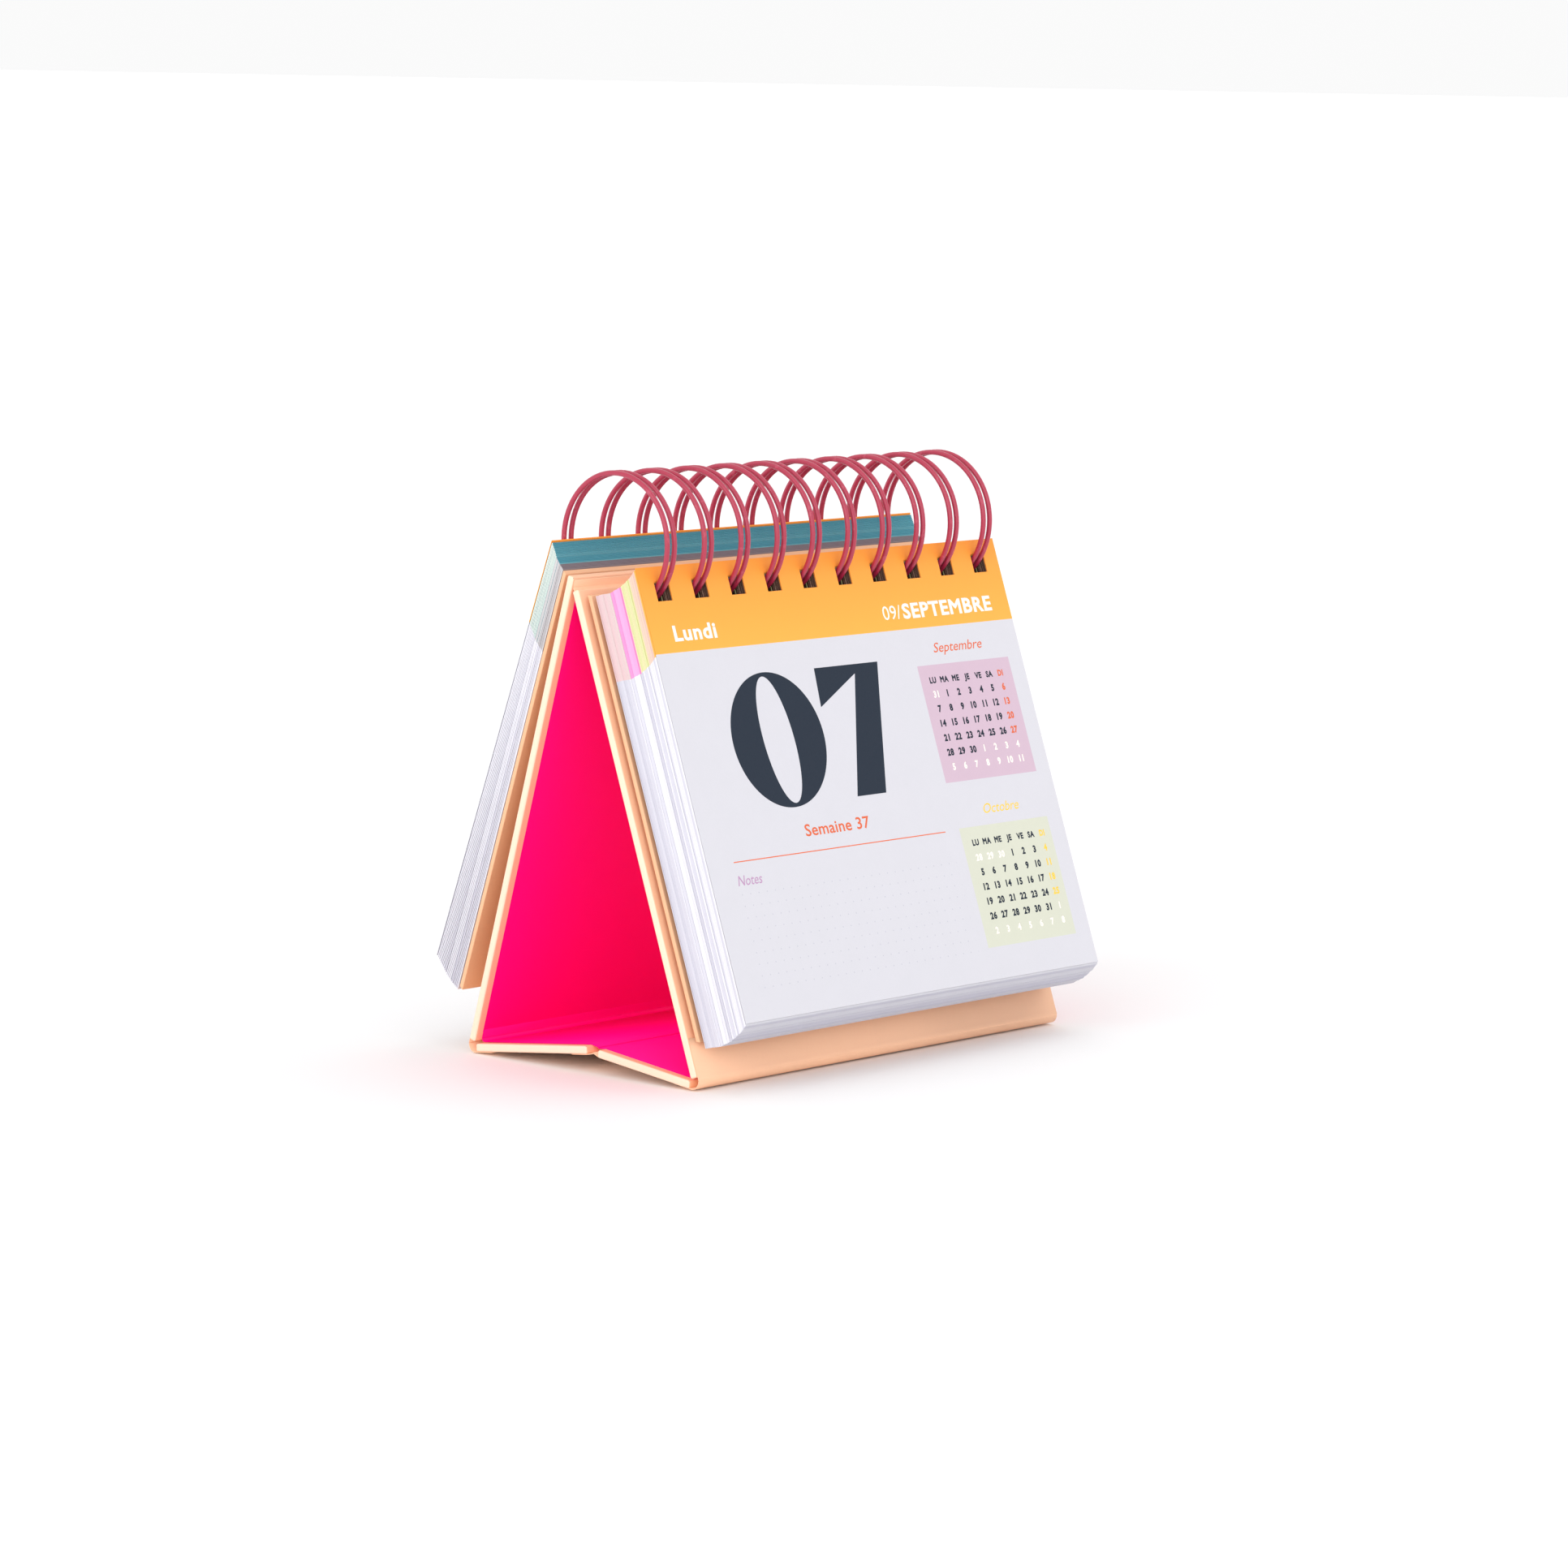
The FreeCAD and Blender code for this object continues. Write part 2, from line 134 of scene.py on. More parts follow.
# %% [markdown]
# Shader sums read best as plain expressions. The class below wraps a node's output, so that
# `1 - mask` or `a * b` adds the Math nodes, and one method makes any other node.

# %% Shader helper
class Tree:
    """A material's node tree with a short way to add a node."""

    def __init__(self, name):
        self.material = bpy.data.materials.new(name)
        self.material.use_nodes = True
        self.nodes = self.material.node_tree.nodes
        self.links = self.material.node_tree.links
        self.shader = self.nodes["Principled BSDF"]

    def node(self, kind, settings=None, output=0, **values):
        made = self.nodes.new(kind)
        for key, value in (settings or {}).items():
            setattr(made, key, value)
        for key, value in values.items():
            self.feed(made.inputs[SOCKETS.get(key, key)], value)
        return Sock(self, made.outputs[output])

    def feed(self, socket, value):
        if isinstance(value, Sock):
            self.links.new(value.output, socket)
        else:
            socket.default_value = value

    def set(self, name, value):
        self.feed(self.shader.inputs[name], value)


SOCKETS = {"a": 0, "b": 1, "c": 2, "factor": 0, "one": 6, "two": 7}


class Sock:
    """An output that can be used in sums."""

    def __init__(self, tree, output):
        self.tree = tree
        self.output = output

    def beside(self, name):
        """Another output of the same node."""
        return Sock(self.tree, self.output.node.outputs[name])

    def maths(self, operation, other=0.0, swap=False):
        a, b = (other, self) if swap else (self, other)
        return self.tree.node("ShaderNodeMath", {"operation": operation}, a=a, b=b)

    def __add__(self, other):
        return self.maths("ADD", other)

    __radd__ = __add__

    def __mul__(self, other):
        return self.maths("MULTIPLY", other)

    __rmul__ = __mul__

    def __sub__(self, other):
        return self.maths("SUBTRACT", other)

    def __rsub__(self, other):
        return self.maths("SUBTRACT", other, swap=True)

    def __truediv__(self, other):
        return self.maths("DIVIDE", other)

    def __gt__(self, other):
        return self.maths("GREATER_THAN", other)

    def __lt__(self, other):
        return self.maths("LESS_THAN", other)


def linear(red, green, blue):
    """A display colour, 0 to 255, as the linear colour a shader wants."""
    parts = []
    for c in (red, green, blue):
        c = c / 255
        parts.append(c / 12.92 if c <= 0.04045 else ((c + 0.055) / 1.055) ** 2.4)
    return (*parts, 1.0)


def blend_colours(tree, factor, one, two):
    """Colour one where the factor is 0, colour two where it is 1."""
    return tree.node("ShaderNodeMix", {"data_type": "RGBA"}, output=2, factor=factor, one=one, two=two)


def noise(tree, place, scale, detail=3.0):
    return tree.node("ShaderNodeTexNoise", Vector=place, Scale=scale, Detail=detail)


print("a display grey of 128 is %.3f in linear light" % linear(128, 128, 128)[0])

# %% [markdown]
# Paper is never one colour. Its fibres catch the light, so the bump is fine and stretched, and
# the tone drifts a little over a few millimetres. The same finish, in other colours, serves
# the wrapping paper, the lining, the card and the printed inks.

# %% Paper finish
CLOUD_SCALE = 160.0
FLECK_SCALE = 1900.0
FIBRE_SCALE = 900.0
FIBRE_STRETCH = (1.0, 2.6, 2.6)
FIBRE_HEIGHT = 0.0002


def paper_surface(tree, colour, rough=0.62, drift=0.05, grain=0.05):
    """Tone drift, uneven sheen and fibre bump on top of a colour."""
    place = tree.node("ShaderNodeTexCoord", output=3)
    cloud = noise(tree, place, CLOUD_SCALE)
    fleck = noise(tree, place, FLECK_SCALE, 2.0)
    shade = 1.0 + (cloud - 0.5) * drift + (fleck - 0.5) * drift
    tone = tree.node("ShaderNodeCombineXYZ", X=shade, Y=shade, Z=shade)
    tinted = tree.node("ShaderNodeMix", {"data_type": "RGBA", "blend_type": "MULTIPLY"},
                       output=2, factor=1.0, one=colour, two=tone)
    tree.set("Base Color", tinted)
    tree.set("Roughness", rough + (fleck - 0.5) * 0.12 + (cloud - 0.5) * 0.06)
    stretched = tree.node("ShaderNodeMapping", Vector=place, Scale=FIBRE_STRETCH)
    fibre = noise(tree, stretched, FIBRE_SCALE, 4.0)
    bump = tree.node("ShaderNodeBump", Strength=grain, Distance=FIBRE_HEIGHT, Height=fibre)
    tree.set("Normal", bump)
    tree.shader.inputs["Specular IOR Level"].default_value = 0.35
    return tree.material


def plain_paper(name, colour, **finish):
    tree = Tree(name)
    return paper_surface(tree, linear(*colour), **finish)


WRAP_PAPER = plain_paper("peach_wrapping_paper", (255, 201, 164), rough=0.5, drift=0.05, grain=0.09)
LINING_PAPER = plain_paper("pink_lining_paper", (255, 0, 138), rough=0.6, drift=0.06, grain=0.06)
# The pink is a fluorescent ink; its emission here is a painted glow that lifts it a little above what it reflects.
painted_glow = LINING_PAPER.node_tree.nodes["Principled BSDF"].inputs
painted_glow["Specular IOR Level"].default_value = 0.15
painted_glow["Emission Color"].default_value = linear(255, 0, 108)
painted_glow["Emission Strength"].default_value = 0.06
# A paler copy of the wrap for the boards' cut ends: a painted highlight, not a different paper.
WRAP_ENDS_PAINTED_LIGHTER = plain_paper("peach_wrap_ends_painted_lighter", (255, 222, 196), rough=0.5, drift=0.05, grain=0.09)
GREY_BOARD = plain_paper("raw_greyboard", (168, 158, 146), rough=0.85, drift=0.3, grain=0.3)
COVER_CARD = plain_paper("peach_cover_card", (238, 186, 146), rough=0.55, drift=0.06, grain=0.08)
print("paper finishes:", len(bpy.data.materials))

# %% [markdown]
# A new piece is drawn in millimetres with bmesh and stood up with its matrix, so that its place is in its mesh.
# Then it rides on its body. A paper hinge is given no body here.

# %% Making a piece
def make_piece(name, bm, material, body, replaced=(), slot=None, stand=None, smooth=False):
    """A finished object at the origin, with its place in its mesh."""
    bmesh.ops.transform(bm, matrix=Matrix.Scale(MM, 4), verts=bm.verts)
    if stand is not None:
        bmesh.ops.transform(bm, matrix=stand, verts=bm.verts)
    mesh = bpy.data.meshes.new(name)
    bm.to_mesh(mesh)
    bm.free()
    for finish in material if isinstance(material, tuple) else (material,):
        mesh.materials.append(finish)
    if smooth:
        mesh.shade_smooth()
    piece = bpy.data.objects.new(name, mesh)
    bpy.context.scene.collection.objects.link(piece)
    if body:
        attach(piece, body)
    if replaced:
        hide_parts(*replaced)
    return piece


def record_slot(node):
    """The finish slot that the record gives a node."""
    return [s["material_slot"] for s in frame["record"]["subparts"] if s["node"] == node][0]


print("finish of the wire in the record:", record_slot("twin_loop_wire"))

# %% [markdown]
# A sheet is a grid cut along the edges of its holes, with the hole faces deleted and the rest
# given its thickness. Its UV map holds millimetres from the page's top left corner, so that
# print stays on the page wherever the sheet hangs.

# %% Punched sheet
PITCH = 12.7
LOOPS = 10
HOLE_WIDTH = 5.0
HOLE_CENTRES = [PITCH * (i - (LOOPS - 1) / 2) for i in range(LOOPS)]


def cut_grid(bm, axis, value):
    everything = bm.verts[:] + bm.edges[:] + bm.faces[:]
    spot = Vector((0, 0, 0))
    spot[axis] = value
    normal = Vector((0, 0, 0))
    normal[axis] = 1
    bmesh.ops.bisect_plane(bm, geom=everything, dist=1e-5, plane_co=spot, plane_no=normal)


def punched_plate(width, low, high, thick, hole_low, hole_high, hole_width=HOLE_WIDTH):
    """A flat plate from low to high along y, thick in +z, with one row of square holes."""
    bm = bmesh.new()
    bmesh.ops.create_grid(bm, x_segments=1, y_segments=1, size=0.5)
    bmesh.ops.scale(bm, vec=(width, high - low, 1), verts=bm.verts)
    bmesh.ops.translate(bm, vec=(0, (low + high) / 2, 0), verts=bm.verts)
    if hole_high > hole_low:
        cut_grid(bm, 1, hole_low)
        cut_grid(bm, 1, hole_high)
        for centre in HOLE_CENTRES:
            cut_grid(bm, 0, centre - hole_width / 2)
            cut_grid(bm, 0, centre + hole_width / 2)
        holes = []
        for face in bm.faces:
            middle = face.calc_center_median()
            across = min(abs(middle.x - centre) for centre in HOLE_CENTRES)
            if hole_low < middle.y < hole_high and across < hole_width / 2:
                holes.append(face)
        bmesh.ops.delete(bm, geom=holes, context="FACES")
    lifted = bmesh.ops.extrude_face_region(bm, geom=bm.faces[:])
    moved = [v for v in lifted["geom"] if isinstance(v, bmesh.types.BMVert)]
    bmesh.ops.translate(bm, vec=(0, 0, thick), verts=moved)
    bmesh.ops.recalc_face_normals(bm, faces=bm.faces[:])
    return bm


def map_page(bm, left, top):
    """UV in millimetres from the page's top left corner."""
    layer = bm.loops.layers.uv.new("page")
    for face in bm.faces:
        for loop in face.loops:
            loop[layer].uv = (loop.vert.co.x - left, top - loop.vert.co.y)


WIDTH = PAGE_WIDTH / MM
HOLE_TOP = -3.45
STACK_HOLE_TOP = -3.2
HOLE_BOTTOM = -8.15
REAR_HOLE_TOP = -2.9
REAR_HOLE_BOTTOM = -7.7
print("hole centres in mm:", [round(centre, 2) for centre in HOLE_CENTRES])

# %% [markdown]
# Each month's pages have their own colour along the top and are white below. The colour bleeds onto the cut edges,
# which is what shows from the side. The cut sides are painted a paler white than the faces, a painted highlight,
# and the walls of the holes a dark brown, a painted shadow. A value that differs from sheet to sheet shifts each
# sheet's tone and puts painted shade on some batches, which gives the cut edges their fine lines.

# %% Page finishes
BAND = 20.3
PAPER_WHITE = linear(213, 212, 219)
# The cut sides get a paler white than the faces of the same paper: a painted highlight for the light on the sides.
SIDE_WHITE_PAINTED_LIGHTER = linear(235, 234, 242)
# Painted shade: the darker white given to the sheets of the dark batches.
SIDE_SHADE = linear(196, 194, 208)
# Dark browns for the walls of the holes: painted shadow inside the punched holes.
HOLE_WALLS_PAINTED_SHADOW = ((108, 82, 66), (74, 54, 44))


def page_coordinates(tree):
    """Millimetres across and down the page."""
    page = tree.node("ShaderNodeUVMap", {"uv_map": "page"})
    parts = tree.node("ShaderNodeSeparateXYZ", Vector=page)
    return parts, parts.beside("Y")


def stack_finish(name, face_colours, edge_colours):
    """Finishes of a month's sheets: their faces, their cut sides and the walls of their holes, whose dark brown is
    a painted shadow.
    """
    made = []
    for part, (one, two), white, shade in (("faces", face_colours, PAPER_WHITE, SIDE_SHADE),
                                           ("sides", edge_colours, SIDE_WHITE_PAINTED_LIGHTER, SIDE_SHADE),
                                           ("holes", HOLE_WALLS_PAINTED_SHADOW, SIDE_WHITE_PAINTED_LIGHTER, SIDE_SHADE)):
        tree = Tree(name + "_" + part)
        across, down = page_coordinates(tree)
        tone_and_shade = tree.node("ShaderNodeAttribute", {"attribute_name": "tone_and_shade"}, output=2)
        band = blend_colours(tree, tone_and_shade, linear(*one), linear(*two))
        below = blend_colours(tree, tone_and_shade, white, shade)
        colour = blend_colours(tree, down < BAND, below, band)
        made.append(paper_surface(tree, colour, rough=0.68, drift=0.05, grain=0.03))
    return tuple(made)


def inside(value, low, high):
    """1 where value lies between two limits."""
    return (value > low) * (value < high)


SAND = ((214, 208, 202), (228, 190, 196))
PINK = ((251, 176, 220), (232, 120, 192))
LIME = ((216, 222, 160), (228, 216, 176))
SALMON = ((244, 206, 188), (206, 178, 172))
ORANGE_EDGE = ((255, 176, 74), (255, 206, 140))
TEAL = ((82, 158, 176), (124, 190, 200))
SAGE = ((222, 230, 222), (188, 212, 208))
GREY = ((206, 203, 204), (176, 171, 175))
SLATE = ((150, 144, 150), (124, 116, 126))
MONTH_FINISHES = {
    "year_end_sheets": stack_finish("year_end", SAND, SAND),
    "december_sheets": stack_finish("december", PINK, PINK),
    "november_sheets": stack_finish("november", LIME, LIME),
    "october_sheets": stack_finish("october", SALMON, SALMON),
    "september_sheets": stack_finish("september", ORANGE_EDGE, ORANGE_EDGE),
    "august_sheets": stack_finish("august", TEAL, SAGE),
    "july_sheets": stack_finish("july", TEAL, GREY),
    "june_sheets": stack_finish("june", SLATE, GREY),
}
print("page finishes:", len(MONTH_FINISHES))

# %% [markdown]
# A sheet is drawn flat and a shear hangs it, so it keeps its thickness and its holes. Hung sheets never quite line
# up, and they move a few at a time, so each batch of two to five sheets shares its slip, its lean and its painted
# shade; about one batch in four is painted dark.

# %% How sheets hang
SHEET_PITCH = 0.24
SHEET_THICK = 0.225
BATCH_SLIP = 0.16
BATCH_DROP = 0.12
BATCH_TILT = 0.0005
SHEET_SLIP = 0.02
DARK_SHADE_SHARE = 0.25


def hung(top, bottom, length, slant=0.0):
    """The shear that hangs a flat plate between a top and a bottom corner (y, z)."""
    shear = Matrix.Identity(4)
    shear[1][2] = slant
    shear[1][3] = top[0] / MM
    shear[2][1] = -(bottom[1] - top[1]) / MM / length
    shear[2][3] = top[1] / MM
    return shear


def slant_of(corners):
    """How far a plate's end moves along y from its low face to its high face, per unit of z."""
    (low_y, low_z), (high_y, high_z) = corners
    return (high_y - low_y) / (high_z - low_z)


def sheet_habits(count):
    """Slip, drop, tilt and painted shade of each sheet, shared by the sheets of a batch."""
    left = 0
    for i in range(count):
        if left == 0:
            left = random.randint(2, 5)
            slip = random.uniform(-BATCH_SLIP, BATCH_SLIP)
            drop = random.uniform(-BATCH_DROP, 0.0)
            tilt = random.uniform(-BATCH_TILT, BATCH_TILT)
            # Each batch gets painted shade: faint on most, dark on about one in four.
            shade = random.uniform(0.0, 0.25)
            if random.random() < DARK_SHADE_SHARE:
                shade = random.uniform(0.45, 0.9)
        left -= 1
        yield slip + random.uniform(-SHEET_SLIP, SHEET_SLIP), drop, tilt, shade


print("sheets %.3f mm thick, %.2f mm apart" % (SHEET_THICK, SHEET_PITCH))

# %% [markdown]
# A month is many copies of one punched sheet. Each copy is hung at its own place between the month's two outer
# sheets, and its painted shade is kept as an attribute that the finish reads.

# %% Stacks of sheets
def stack_of_sheets(node, stand, body, hole_top, hole_bottom):
    """All the loose sheets of one month."""
    top, bottom = end_corners(node, stand)
    length = (top[0][0] - bottom[0][0]) / MM
    count = max(2, round((top[1][1] - top[0][1]) / MM / SHEET_PITCH))
    template = punched_plate(WIDTH, -length, 0, SHEET_THICK, hole_bottom, hole_top)
    map_page(template, -WIDTH / 2, 0)
    template.normal_update()
    for face in template.faces:
        middle = face.calc_center_median()
        outside = abs(middle.x) > WIDTH / 2 - 0.01 or middle.y > -0.01 or middle.y < 0.01 - length
        # Walls of the holes take the dark brown finish, a painted shadow.
        if abs(face.normal.z) < 0.5 and not outside:
            face.material_index = 2
        # Cut sides take the paler white of the side finish, a painted highlight.
        elif abs(face.normal.x) > 0.5:
            face.material_index = 1
    pattern = bpy.data.meshes.new("pattern")
    template.to_mesh(pattern)
    template.free()
    bm = bmesh.new()
    shades = []
    for i, (slip, drop, tilt, shade) in enumerate(sheet_habits(count)):
        step = (i + 0.1) / count
        high = [a + (b - a) * step for a, b in zip(*top)]
        low = [a + (b - a) * step for a, b in zip(*bottom)]
        before = len(bm.verts)
        bm.from_mesh(pattern)
        bm.verts.ensure_lookup_table()
        place = hung(high, low, length)
        place[0][3] = slip * (i > 0)
        place[1][3] += drop
        place[2][1] -= tilt
        bmesh.ops.transform(bm, matrix=place, verts=bm.verts[before:])
        shades += [shade] * (len(bm.verts) - before)
    bpy.data.meshes.remove(pattern)
    piece = make_piece(node[:-7] + "_pages", bm, MONTH_FINISHES[node], body, (node,),
                       record_slot(node), stand)
    tone_and_shade = piece.data.attributes.new("tone_and_shade", "FLOAT", "POINT")
    tone_and_shade.data.foreach_set("value", shades)
    print("%-16s %3d sheets" % (piece.name, count))
    return piece


for month in ("year_end", "december", "november", "october", "september"):
    stack_of_sheets(month + "_sheets", FRONT, "front_stack", STACK_HOLE_TOP, HOLE_BOTTOM)
for month in ("june", "july", "august"):
    stack_of_sheets(month + "_sheets", BACK, "rear_stack", REAR_HOLE_TOP, REAR_HOLE_BOTTOM)

# %% [markdown]
# The page of the day carries the print. Flat tints with straight edges, the dot grid and the
# rule are drawn by the finish from the page's own millimetres; letters and numbers are thin
# pieces of their own, so their edges stay sharp close up.

# %% Page of the day
ORANGE = (255, 176, 70)
ORANGE_TOP = (255, 158, 58)
MAUVE_FIELD = (208, 182, 199)
GREEN_FIELD = (212, 214, 197)
RULE_ORANGE = (228, 112, 70)
DOT_GREY = (188, 188, 200)
DOT_RADIUS = 0.17
DOT_STRENGTH = 0.75
CALENDAR_ONE = (89.3, 29.5, 123.9, 58.2)
CALENDAR_TWO = (89.9, 69.4, 123.6, 98.6)
RULE = (8.8, 69.6, 84.7, 69.85)
DOTS = (8.0, 76.0, 86.0, 100.0)
DOTS_BEHIND = (8.0, 30.0, 121.0, 100.0)
DOT_FIRST = (9.1, 77.3)
DOT_STEP = (2.85, 2.7)


def panel_mask(across, down, limits):
    """1 inside a field with straight edges, given as left, top, right, bottom."""
    left, top, right, bottom = limits
    return inside(across, left, right) * inside(down, top, bottom)


def printed_page(name, with_calendars):
    """The flat tints, the rule and the dots of a page."""
    tree = Tree(name)
    across, down = page_coordinates(tree)
    deeper = tree.node("ShaderNodeMath", {"operation": "MULTIPLY", "use_clamp": True}, a=down, b=1 / BAND)
    band = blend_colours(tree, deeper, linear(*ORANGE_TOP), linear(*ORANGE))
    colour = blend_colours(tree, down < BAND, PAPER_WHITE, band)
    if with_calendars:
        mauve = panel_mask(across, down, CALENDAR_ONE)
        green = panel_mask(across, down, CALENDAR_TWO)
        colour = blend_colours(tree, mauve, colour, linear(*MAUVE_FIELD))
        colour = blend_colours(tree, green, colour, linear(*GREEN_FIELD))
        rule = panel_mask(across, down, RULE)
        colour = blend_colours(tree, rule, colour, linear(*RULE_ORANGE))
    spots = []
    for value, first, step in zip((across, down), DOT_FIRST, DOT_STEP):
        turns = (value - (first - step / 2)) / step
        offset = (turns.maths("FRACT") - 0.5) * step
        spots.append(offset * offset)
    dotted = DOTS if with_calendars else DOTS_BEHIND
    dots = ((spots[0] + spots[1]) < DOT_RADIUS ** 2) * panel_mask(across, down, dotted)
    colour = blend_colours(tree, dots * DOT_STRENGTH, colour, linear(*DOT_GREY))
    return paper_surface(tree, colour, rough=0.55, drift=0.03, grain=0.05)


def single_sheet(name, node, stand, body, finish, holes):
    """One loose sheet, and the matrix that hung it."""
    top, bottom = end_corners(node, stand)
    length = (top[0][0] - bottom[0][0]) / MM
    thick = (top[1][1] - top[0][1]) / MM
    bm = punched_plate(WIDTH, -length, 0, thick, holes[1], holes[0])
    map_page(bm, -WIDTH / 2, 0)
    place = hung(top[0], bottom[0], length, slant_of(top))
    bmesh.ops.transform(bm, matrix=place, verts=bm.verts)
    return make_piece(name, bm, finish, body, (node,), record_slot(node), stand), place


DAY_PAGE, day_place = single_sheet("day_page", "current_day_sheet", FRONT, "current_day",
                                   printed_page("day_page_print", True), (HOLE_TOP, HOLE_BOTTOM))
single_sheet("flipped_page", "last_flipped_sheet", BACK, "last_flipped",
             printed_page("flipped_page_print", False), (REAR_HOLE_TOP, REAR_HOLE_BOTTOM))
print("day page faces:", len(DAY_PAGE.data.polygons))

# %% [markdown]
# Each ink is one thin raised piece that gathers all the letters and numbers of its colour. It
# has the grain of the paper under it.

# %% Inks
INK_LIFT = 0.035
WORD_DEPTH = 0.02


def ink_finish(name, colour, rough=0.5):
    return plain_paper(name, colour, rough=rough, drift=0.04, grain=0.03)


INKS = {
    "navy": ink_finish("navy_ink", (28, 40, 56), rough=0.75),
    "orange": ink_finish("orange_ink", (226, 104, 62)),
    "yellow": ink_finish("yellow_ink", (252, 208, 76)),
    "white": ink_finish("white_ink", (252, 244, 236)),
    "mauve": ink_finish("mauve_ink", (190, 148, 186)),
}
ink_shapes = {colour: bmesh.new() for colour in INKS}
print("inks:", list(INKS))

# %% [markdown]
# Plain words use the built-in font, widened, thickened or slanted to suit each line; heights and
# places are in millimetres on the page.

# %% Lettering

def word_mesh(text, bold, italic):
    """Letters from the built-in font as thin solids. A bevel makes bold ones heavier."""
    curve = bpy.data.curves.new("word", "FONT")
    curve.body = text
    curve.resolution_u = 3
    curve.extrude = WORD_DEPTH
    curve.bevel_depth = bold
    curve.bevel_resolution = 0
    curve.space_character = 1 + 2.5 * bold
    curve.shear = italic
    holder = bpy.data.objects.new("word", curve)
    bpy.context.scene.collection.objects.link(holder)
    bpy.context.view_layer.update()
    mesh = bpy.data.meshes.new_from_object(holder)
    bpy.data.objects.remove(holder)
    bpy.data.curves.remove(curve)
    return mesh


def extent(mesh, axis):
    values = [v.co[axis] for v in mesh.vertices]
    return min(values), max(values)


CAP_HEIGHT = extent(word_mesh("H", 0.0, 0.0), 1)[1]


def write(colour, text, x, baseline, height, width=None, centred=True, bold=0.0, italic=0.0):
    """Adds a word to an ink. x is its middle, or its left end when centred is False."""
    mesh = word_mesh(text, bold, italic)
    scale = height / CAP_HEIGHT
    left, right = extent(mesh, 0)
    stretch = scale if width is None else width / (right - left)
    start = x - (right + left) / 2 * stretch if centred else x - left * stretch
    bm = ink_shapes[colour]
    before = len(bm.verts)
    bm.from_mesh(mesh)
    bm.verts.ensure_lookup_table()
    flat = INK_LIFT / 2 / (WORD_DEPTH + bold)
    fit = Matrix.Translation((start, -baseline, INK_LIFT / 2)) @ Matrix.Diagonal((stretch, scale, flat, 1))
    bmesh.ops.transform(bm, matrix=fit, verts=bm.verts[before:])
    bpy.data.meshes.remove(mesh)


write("white", "Lundi", 7.4, 17.6, 3.4, width=14.6, centred=False, bold=0.035)
write("white", "09/", 81.6, 17.6, 3.3, width=6.6, centred=False)
write("white", "SEPTEMBRE", 88.9, 17.6, 3.4, width=33.6, centred=False, bold=0.035)
write("orange", "Semaine 37", 47.0, 66.1, 2.7, width=23.0, bold=0.012)
write("mauve", "Notes", 8.6, 75.25, 2.3, width=8.4, centred=False, italic=0.25)
write("orange", "Septembre", 106.0, 26.6, 2.3, width=18.4, italic=0.3)
write("yellow", "Octobre", 107.3, 66.6, 2.3, width=13.4, italic=0.3)
print("cap height of the built-in font: %.3f of its size" % CAP_HEIGHT)

# %% [markdown]
# The big numerals are poster shapes. The nought is an oval with a tall narrow counter, bridged
# between two circles, and the seven is one flat outline.

# %% Numerals
def nought(middle, size, counter, slant):
    """A ring between an outer oval and a slanted inner one."""
    bm = ink_shapes["numeral"]
    rings = []
    for (wide, tall), lean_over in ((size, 0.0), (counter, slant)):
        made = bmesh.ops.create_circle(bm, segments=96, radius=0.5)["verts"]
        shape = Matrix.Translation((middle[0], -middle[1], 0)) @ Matrix.Diagonal((wide, tall, 1, 1))
        skew = Matrix.Identity(4)
        skew[0][1] = lean_over / wide
        bmesh.ops.transform(bm, matrix=shape @ skew, verts=made)
        rings += {edge for v in made for edge in v.link_edges}
    bmesh.ops.bridge_loops(bm, edges=rings)


def flat_outline(colour, corners):
    """A filled flat shape from its outline."""
    curve = bpy.data.curves.new("outline", "CURVE")
    curve.dimensions = "2D"
    curve.fill_mode = "FRONT"
    line = curve.splines.new("POLY")
    line.points.add(len(corners) - 1)
    for point, (x, down) in zip(line.points, corners):
        point.co = (x, -down, 0, 1)
    line.use_cyclic_u = True
    holder = bpy.data.objects.new("outline", curve)
    bpy.context.scene.collection.objects.link(holder)
    bpy.context.view_layer.update()
    mesh = bpy.data.meshes.new_from_object(holder)
    ink_shapes[colour].from_mesh(mesh)
    bpy.data.objects.remove(holder)
    bpy.data.curves.remove(curve)
    bpy.data.meshes.remove(mesh)


def thicken(bm):
    """Gives the flat faces of an ink its thickness."""
    lifted = bmesh.ops.extrude_face_region(bm, geom=bm.faces[:])
    moved = [v for v in lifted["geom"] if isinstance(v, bmesh.types.BMVert)]
    bmesh.ops.translate(bm, vec=(0, 0, INK_LIFT), verts=moved)


numerals = ink_shapes["numeral"] = bmesh.new()
INKS["numeral"] = INKS["navy"]
nought((34.2, 43.0), (31.8, 32.1), (10.7, 30.2), -1.3)
flat_outline("numeral", [(52.3, 27.3), (75.3, 27.3), (67.0, 58.5), (56.6, 58.5), (66.3, 29.5), (51.5, 36.6)])
thicken(numerals)
print("numeral faces:", len(numerals.faces))

# %% [markdown]
# Two small month tables share the right margin. Each lists six weeks; Sundays take the title's
# colour and days of the neighbouring months are pale.

# %% Month tables
def month_table(left, step, head, first, row_step, lead_in, days, accent, previous_days):
    """A heading of weekdays and six rows of numbers, in columns a step apart."""
    columns = [left + i * step for i in range(7)]
    for x, day in zip(columns, ("LU", "MA", "ME", "JE", "VE", "SA", "DI")):
        write(accent if day == "DI" else "navy", day, x, head, 1.35, bold=0.045)
    for cell in range(42):
        number = cell - lead_in + 1
        week, day = divmod(cell, 7)
        if number < 1:
            colour, shown = "white", previous_days + number
        elif number > days:
            colour, shown = "white", number - days
        else:
            colour, shown = (accent if day == 6 else "navy"), number
        write(colour, str(shown), columns[day], first + week * row_step, 1.5, bold=0.05)


